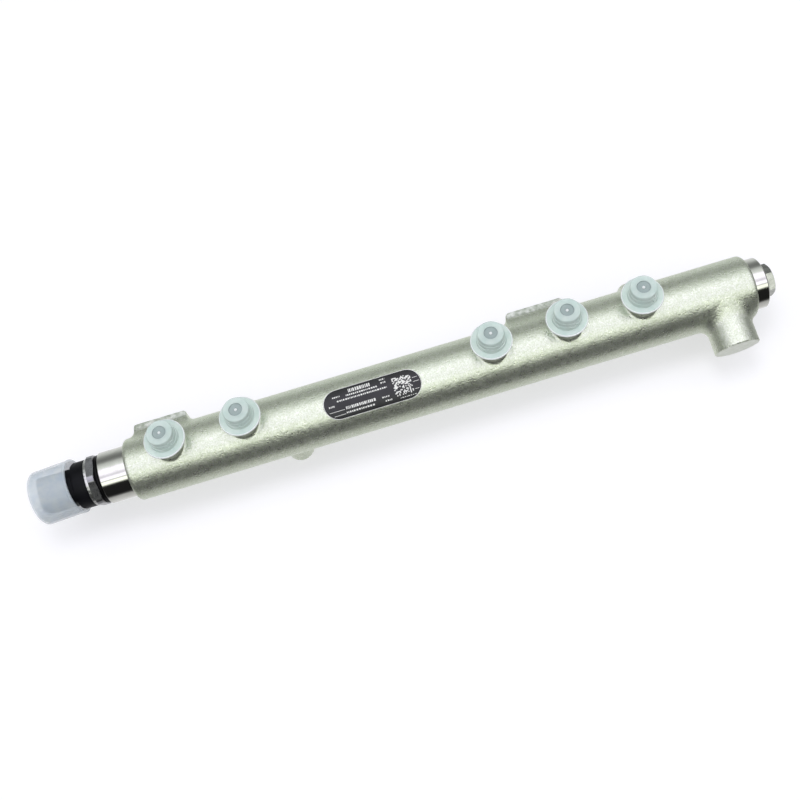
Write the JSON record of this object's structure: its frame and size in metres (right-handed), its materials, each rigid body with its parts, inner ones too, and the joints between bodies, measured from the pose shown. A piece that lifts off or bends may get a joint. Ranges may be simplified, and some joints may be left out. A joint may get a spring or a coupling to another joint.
{
  "type": "diesel common-rail fuel rail",
  "caption": "Straight forged high-pressure fuel rail with capped outlet nipples, a pressure sensor at one end, a screwed plug at the other and bolt-on mounting pads.",
  "frame": {"origin": "midway between the two mounting holes, on the machined face of the mounting pads", "axes": "+X along the rail from the pressure sensor to the end plug, +Y out of the mounting pads' face, +Z along the outlet nipples"},
  "size_m": [0.4238, 0.0559, 0.0706],
  "materials": {
    "plated_forging": "shot-blasted forged steel with pale champagne-green zinc-nickel plating, machined faces bright",
    "turned_steel": "bright turned steel",
    "sensor_steel": "dark grey milled stainless steel",
    "rolled_steel": "bright rolled steel",
    "black_rubber": "smooth black rubber",
    "black_polyamide": "glass-filled polyamide, satin",
    "white_polyamide": "natural polyamide",
    "circuit_board": "solder mask",
    "tinned_bronze": "tin-plated bronze",
    "natural_polyethylene": "translucent natural polyethylene",
    "label_foil": "near-black satin foil with light marks"
  },
  "bodies": {
    "root": {"rail_body": "plated_forging", "end_plug": "turned_steel", "sensor_body": "sensor_steel", "sensor_seal_ring": "black_rubber", "sensor_measuring_cell": "turned_steel", "sensor_board_spacer": "white_polyamide", "sensor_circuit_board": "circuit_board", "sensor_gasket": "black_rubber", "sensor_crimp_ring": "rolled_steel", "sensor_connector": "black_polyamide", "sensor_cap": "natural_polyethylene", "sensor_pin_1": "tinned_bronze", "sensor_pin_2": "tinned_bronze", "sensor_pin_3": "tinned_bronze", "data_label": "label_foil", "port_cap_1": "natural_polyethylene", "port_cap_2": "natural_polyethylene", "port_cap_3": "natural_polyethylene", "port_cap_4": "natural_polyethylene", "port_cap_5": "natural_polyethylene"}
  },
  "joints": []
}
